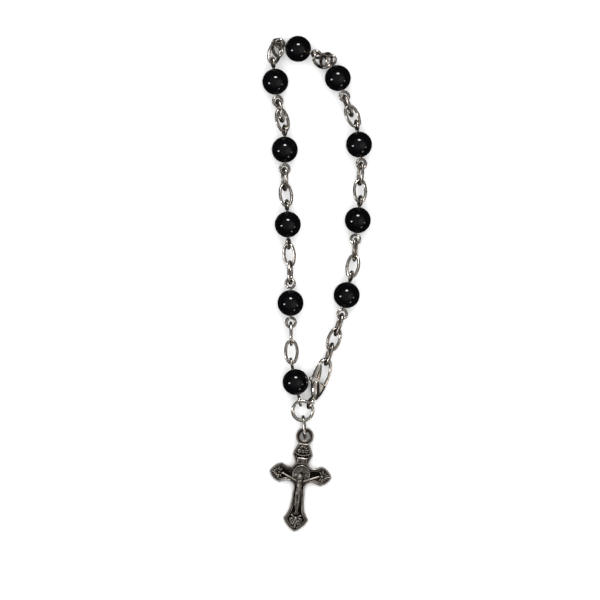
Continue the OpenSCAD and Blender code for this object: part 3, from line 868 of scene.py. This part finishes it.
# places are x and y from the middle of the cross and z over its floor, followed by half sizes or radii
figure = {
    "head": (-0.18, -0.42, 0.95), "lean": -12, "skull": (0.5, 0.66, 0.52), "hair": (0.58, 0.55, 0.5),
    # on the head: nose, closed lids, brows, lips, cheeks and chin
    "face": [(0, 0.02, 0.5, 0.06, 0.15, 0.09), (0, -0.1, 0.53, 0.085, 0.07, 0.07),
             (-0.19, 0.1, 0.44, 0.12, 0.05, 0.07), (0.19, 0.1, 0.44, 0.12, 0.05, 0.07),
             (-0.19, 0.19, 0.45, 0.15, 0.04, 0.07), (0.19, 0.19, 0.45, 0.15, 0.04, 0.07),
             (0, -0.25, 0.47, 0.13, 0.03, 0.06), (0, -0.31, 0.46, 0.1, 0.035, 0.06),
             (-0.24, -0.1, 0.38, 0.13, 0.14, 0.08), (0.24, -0.1, 0.38, 0.13, 0.14, 0.08),
             (0, -0.5, 0.36, 0.2, 0.2, 0.16), (-0.2, -0.42, 0.3, 0.16, 0.2, 0.14),
             (0.2, -0.42, 0.3, 0.16, 0.2, 0.14)],
    "locks": 7, "lock": (0.14, 0.16, 0.2), "strands": 9, "strand": (0.11, 0.07, 0.1),
    "neck": ((-0.05, -0.95, 0.5), (-0.1, -1.5, 0.45), 0.26, 0.32),
    "chest": [(-0.05, -1.72, 0.42, 0.95, 0.36, 0.36), (-0.1, -2.1, 0.42, 0.78, 0.55, 0.42),
              (-0.38, -1.95, 0.66, 0.34, 0.26, 0.16), (0.3, -1.98, 0.66, 0.34, 0.26, 0.16)],
    "waist": ((-0.08, -2.1, 0.4), (-0.1, -3.3, 0.38), 0.62, 0.5),
    "belly": (-0.1, -3.0, 0.45, 0.42, 0.4, 0.38), "ribs": 3, "rib": (0.26, 0.05, 0.12),
    "hands": ((-1, (-4.1, -0.02)), (1, (4.1, -0.06))), "hand": (0.36, 0.26, 0.19, 0.13),
    "upperArm": (0.28, 0.2), "lowerArm": (0.2, 0.13), "muscle": (0.52, 0.5, 0.26, 0.24),
    "finger": (0.055, 0.04),
    "hips": [(-0.1, -3.62, 0.45, 0.62, 0.42, 0.4), (-0.12, -4.0, 0.45, 0.66, 0.42, 0.42)],
    "folds": 5, "fold": (0.075, 0.17),
    "clothEnd": ((0.55, -3.55, 0.5), (0.85, -4.7, 0.4), 0.2, 0.12),
    "knot": (0.6, -3.55, 0.6, 0.24, 0.22, 0.22),
    "thigh": (0.4, 0.29), "knee": (0.3, 0.34, 0.3), "kneecap": (0.95, 0.18, 0.22, 0.14),
    "shin": (0.29, 0.17), "calf": (-6.95, 0.58, 0.28, 0.55, 0.28),
    # both feet with their turns, then the nail and the toes, then the rest that they stand on
    "feet": [((-0.12, -8.6, 0.5, 0.2, 0.42, 0.2), -6), ((0.1, -8.55, 0.42, 0.2, 0.42, 0.18), 8),
             ((0, -8.85, 0.66, 0.09, 0.09, 0.08), 0), ((-0.1, -9.05, 0.45, 0.18, 0.14, 0.14), 0)],
    "footrest": (0, -9.05, 0.15, 0.9, 0.5, 0.34),
}


def addFigureBall(x, y, z, sx, sy, sz, turn=0, segments=20):
    return addBall(x, crucifix["middle"] + y, crucifix["floor"] + z, sx, sy, sz, turn=turn, segments=segments)


def addFigureRod(a, b, ra, rb):
    mid, floor = crucifix["middle"], crucifix["floor"]
    return addRod((a[0], mid + a[1], floor + a[2]), (b[0], mid + b[1], floor + b[2]), ra, rb, 16)


def makeHead():
    ball, lean = addFigureBall, math.radians(figure["lean"])
    hx, hy, hz = figure["head"]
    parts = [ball(hx, hy, hz, *figure["skull"], turn=figure["lean"], segments=32),
             ball(hx, hy + 0.2, hz - 0.08, *figure["hair"], segments=32)]
    for x, y, z, sx, sy, sz in figure["face"]:
        parts.append(ball(hx + x * math.cos(lean) - y * math.sin(lean),
                          hy + x * math.sin(lean) + y * math.cos(lean),
                          hz + z - 0.02, sx, sy, sz, turn=figure["lean"], segments=14))
    for i in range(figure["locks"]):  # locks of hair on both sides
        odd = i % 2
        for side in (-1, 1):
            parts.append(ball(hx + side * (0.48 + 0.03 * odd), hy + 0.42 - i * 0.19, hz - 0.05 + 0.05 * odd,
                              *figure["lock"], turn=side * 20, segments=12))
    half = (figure["strands"] - 1) // 2
    for i in range(figure["strands"]):  # woven band round the brow
        t = (i - half) / half
        parts.append(ball(hx + t * 0.52, hy + 0.42 - 0.1 * t * t, hz + 0.36 - 0.3 * t * t, *figure["strand"],
                          turn=30 * (-1) ** i, segments=10))
    return parts


def makeTrunk():
    ball, rod = addFigureBall, addFigureRod
    parts = [rod(*figure["neck"])]
    parts += [ball(*part) for part in figure["chest"]]
    parts += [rod(*figure["waist"]), ball(*figure["belly"])]
    for i in range(figure["ribs"]):
        for side in (-1, 1):
            parts.append(ball(-0.1 + side * 0.36, -2.3 - i * 0.2, 0.62 - 0.03 * i, *figure["rib"],
                              turn=side * -18, segments=12))
    return parts


def makeArm(side, hand):
    ball, rod = addFigureBall, addFigureRod
    shoulder = (side * 0.85 - 0.06, -1.55, 0.45)
    elbow = (side * 2.45, -0.85, 0.5)
    wrist = (hand[0] - side * 0.35, hand[1] - 0.12, 0.38)
    parts = [ball(*shoulder, 0.34, 0.32, 0.32), rod(shoulder, elbow, *figure["upperArm"]),
             ball(*elbow, 0.21, 0.2, 0.2),
             ball((shoulder[0] + elbow[0]) / 2, (shoulder[1] + elbow[1]) / 2 + 0.03, *figure["muscle"],
                  turn=side * 23),
             rod(elbow, wrist, *figure["lowerArm"]), ball(*hand, *figure["hand"], turn=side * 15)]
    for f in (-1, 0, 1):  # fingers
        root = (hand[0], hand[1] + f * 0.09, 0.38)
        tip = (hand[0] + side * 0.36, hand[1] + f * 0.14 + 0.03, 0.4)
        parts.append(rod(root, tip, *figure["finger"]))
    return parts


def makeLoincloth():
    ball = addFigureBall
    parts = [ball(*part) for part in figure["hips"]]
    for i in range(figure["folds"]):
        parts.append(ball(-0.1, -3.45 - i * 0.19, 0.72, 0.62 + 0.02 * i, *figure["fold"], turn=-8 + 4 * i))
    return parts + [addFigureRod(*figure["clothEnd"]), ball(*figure["knot"])]


def makeLeg(side):
    ball, rod = addFigureBall, addFigureRod
    hip = (side * 0.3 - 0.1, -4.1, 0.45)
    knee = (side * 0.3 - 0.12, -6.3, 0.75)
    ankle = (side * 0.14 - 0.02, -8.3, 0.42)
    return [rod(hip, knee, *figure["thigh"]), ball(*knee, *figure["knee"]),
            ball(knee[0], knee[1] - 0.05, *figure["kneecap"]), rod(knee, ankle, *figure["shin"]),
            ball(knee[0] + side * 0.05, *figure["calf"])]


def buildFigure():
    parts = makeHead() + makeTrunk()
    for side, hand in figure["hands"]:
        parts += makeArm(side, hand)
    parts += makeLoincloth()
    for side in (-1, 1):
        parts += makeLeg(side)
    parts += [addFigureBall(*part, turn=turn) for part, turn in figure["feet"]]
    x, y, z, *size = figure["footrest"]
    parts.append(addBox(x, crucifix["middle"] + y, crucifix["floor"] + z, *size))
    obj = joinAll(parts, "crucifixFigure")
    melt(obj, crucifix["figureVoxel"], 2, 0.4)
    shelterMask(obj, 12, 0.1)
    putAt(obj, crucifixPlace())
    smooth(obj)
    finishPiece(obj, "bracelet", "crucifix_silver", antiqueSilver)


stageLook = {
    "camera": (-3.968, -3.747, 1400), "beadMiddle": 3, "width": 138.48, "sensor": 36, "clip": (0.05, 10),
    "world": (1.0, 0.98, 0.96), "worldFrom": 0.3, "worldLow": 0.03, "worldHigh": 0.38,
    "glowFrom": (0.6, -0.22, 0.77), "glowEdge": 0.8, "glow": 0.55,
    "paper": (0.85, 0.85, 0.85), "paperRough": 0.9, "paperSpecular": 0.1,
    "fibreScale": 300, "fibre": 0.02, "fibreDepth": 0.0001,
    # direction, distance in metres, size, power and colour
    "lamps": {
        "lampTop": ((0.03, 0.66, 0.75), 0.9, (0.34, 0.2), 8, (1, 0.99, 0.97)),
        "lampLeft": ((-0.84, -0.17, 0.52), 0.9, (0.15, 0.28), 3.6, (0.97, 0.98, 1)),
        "lampRight": ((0.865, -0.316, 0.386), 0.9, (0.08, 0.26), 0.7, (1, 0.82, 0.66)),
        "lampFoot": ((0.47, -0.86, 0.22), 0.9, (0.2, 0.1), 0.8, (1, 0.93, 0.86)),
    },
    "roomFill": ((0, 0.1, 1), 1.0, (2.0, 2.0), 27, (1, 1, 1)),
}


def makeFloor():
    bpy.ops.mesh.primitive_plane_add(size=3)
    floor = newest("floor")
    mat, tree, shader, link = newMaterial("paperFloor")
    coords = addNode(tree, "ShaderNodeTexCoord")
    fibre = addNode(tree, "ShaderNodeTexNoise", {"Scale": stageLook["fibreScale"]})
    link(coords.outputs["Object"], fibre.inputs["Vector"])
    bump = addNode(tree, "ShaderNodeBump", {
        "Strength": stageLook["fibre"], "Distance": stageLook["fibreDepth"]})
    link(fibre.outputs["Fac"], bump.inputs["Height"])
    link(bump.outputs["Normal"], shader.inputs["Normal"])
    setInputs(shader, {"Base Color": (*stageLook["paper"], 1), "Roughness": stageLook["paperRough"],
                       "Specular IOR Level": stageLook["paperSpecular"]})
    floor.data.materials.append(mat)
    floor.visible_glossy = False
    floor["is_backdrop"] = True


def addLight(name, direction, far, size, power, colour, glossy=True):
    way = Vector(direction).normalized()
    bpy.ops.object.light_add(type="AREA", location=way * far)
    lamp = bpy.context.object
    lamp.name = name
    lamp.data.shape = "ELLIPSE"
    lamp.data.size, lamp.data.size_y = size
    lamp.data.energy = power
    lamp.data.color = colour
    lamp.rotation_mode = "QUATERNION"
    lamp.rotation_quaternion = way.to_track_quat("Z", "Y")
    lamp.visible_glossy = glossy
    lamp.visible_diffuse = not glossy  # the floor is lit by the room, the metal and glass by the lamps


def makeWorld():
    world = bpy.data.worlds.new("studio")
    bpy.context.scene.world = world
    world.use_nodes = True
    tree = world.node_tree
    link = tree.links.new
    back = tree.nodes["Background"]
    back.inputs["Color"].default_value = (*stageLook["world"], 1)
    coords = addNode(tree, "ShaderNodeTexCoord")
    split = addNode(tree, "ShaderNodeSeparateXYZ")
    link(coords.outputs["Generated"], split.inputs[0])
    rise = addNode(tree, "ShaderNodeMapRange", {  # paler overhead than round the sides
        "From Min": stageLook["worldFrom"], "To Min": stageLook["worldLow"],
        "To Max": stageLook["worldHigh"]}, interpolation_type="SMOOTHSTEP")
    link(split.outputs["Z"], rise.inputs["Value"])
    facing = addNode(tree, "ShaderNodeVectorMath", operation="DOT_PRODUCT")
    facing.inputs[1].default_value = Vector(stageLook["glowFrom"]).normalized()
    link(coords.outputs["Generated"], facing.inputs[0])
    lobe = addNode(tree, "ShaderNodeMapRange", {  # a soft glow on one side
        "From Min": stageLook["glowEdge"], "To Max": stageLook["glow"]}, interpolation_type="SMOOTHSTEP")
    link(facing.outputs["Value"], lobe.inputs["Value"])
    total = addNode(tree, "ShaderNodeMath", operation="ADD")
    link(rise.outputs["Result"], total.inputs[0])
    link(lobe.outputs["Result"], total.inputs[1])
    link(total.outputs[0], back.inputs["Strength"])


def makeCamera():
    x, y, z = stageLook["camera"]
    bpy.ops.object.camera_add(location=(x * mm, y * mm, z * mm))
    camera = bpy.context.object
    camera.data.sensor_width = stageLook["sensor"]
    camera.data.lens = stageLook["sensor"] * (z - stageLook["beadMiddle"]) / stageLook["width"]
    camera.data.clip_start, camera.data.clip_end = stageLook["clip"]
    bpy.context.scene.camera = camera
    bpy.context.scene.view_settings.view_transform = "Standard"


def makeStudio():
    makeFloor()
    makeWorld()
    addLight("roomFill", *stageLook["roomFill"], glossy=False)
    for name, settings in stageLook["lamps"].items():
        addLight(name, *settings)
    makeCamera()


makeStudio()
print("studio done")
buildChain()
print("beads, pins and links done")
buildRings()
print("rings done")
buildClaspBody()
buildClaspLever()
print("clasp done")
buildCross()
print("cross done")
buildFigure()
print("figure done")

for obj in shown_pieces():
    print(obj.name, len(obj.data.polygons) if obj.type == "MESH" else "")
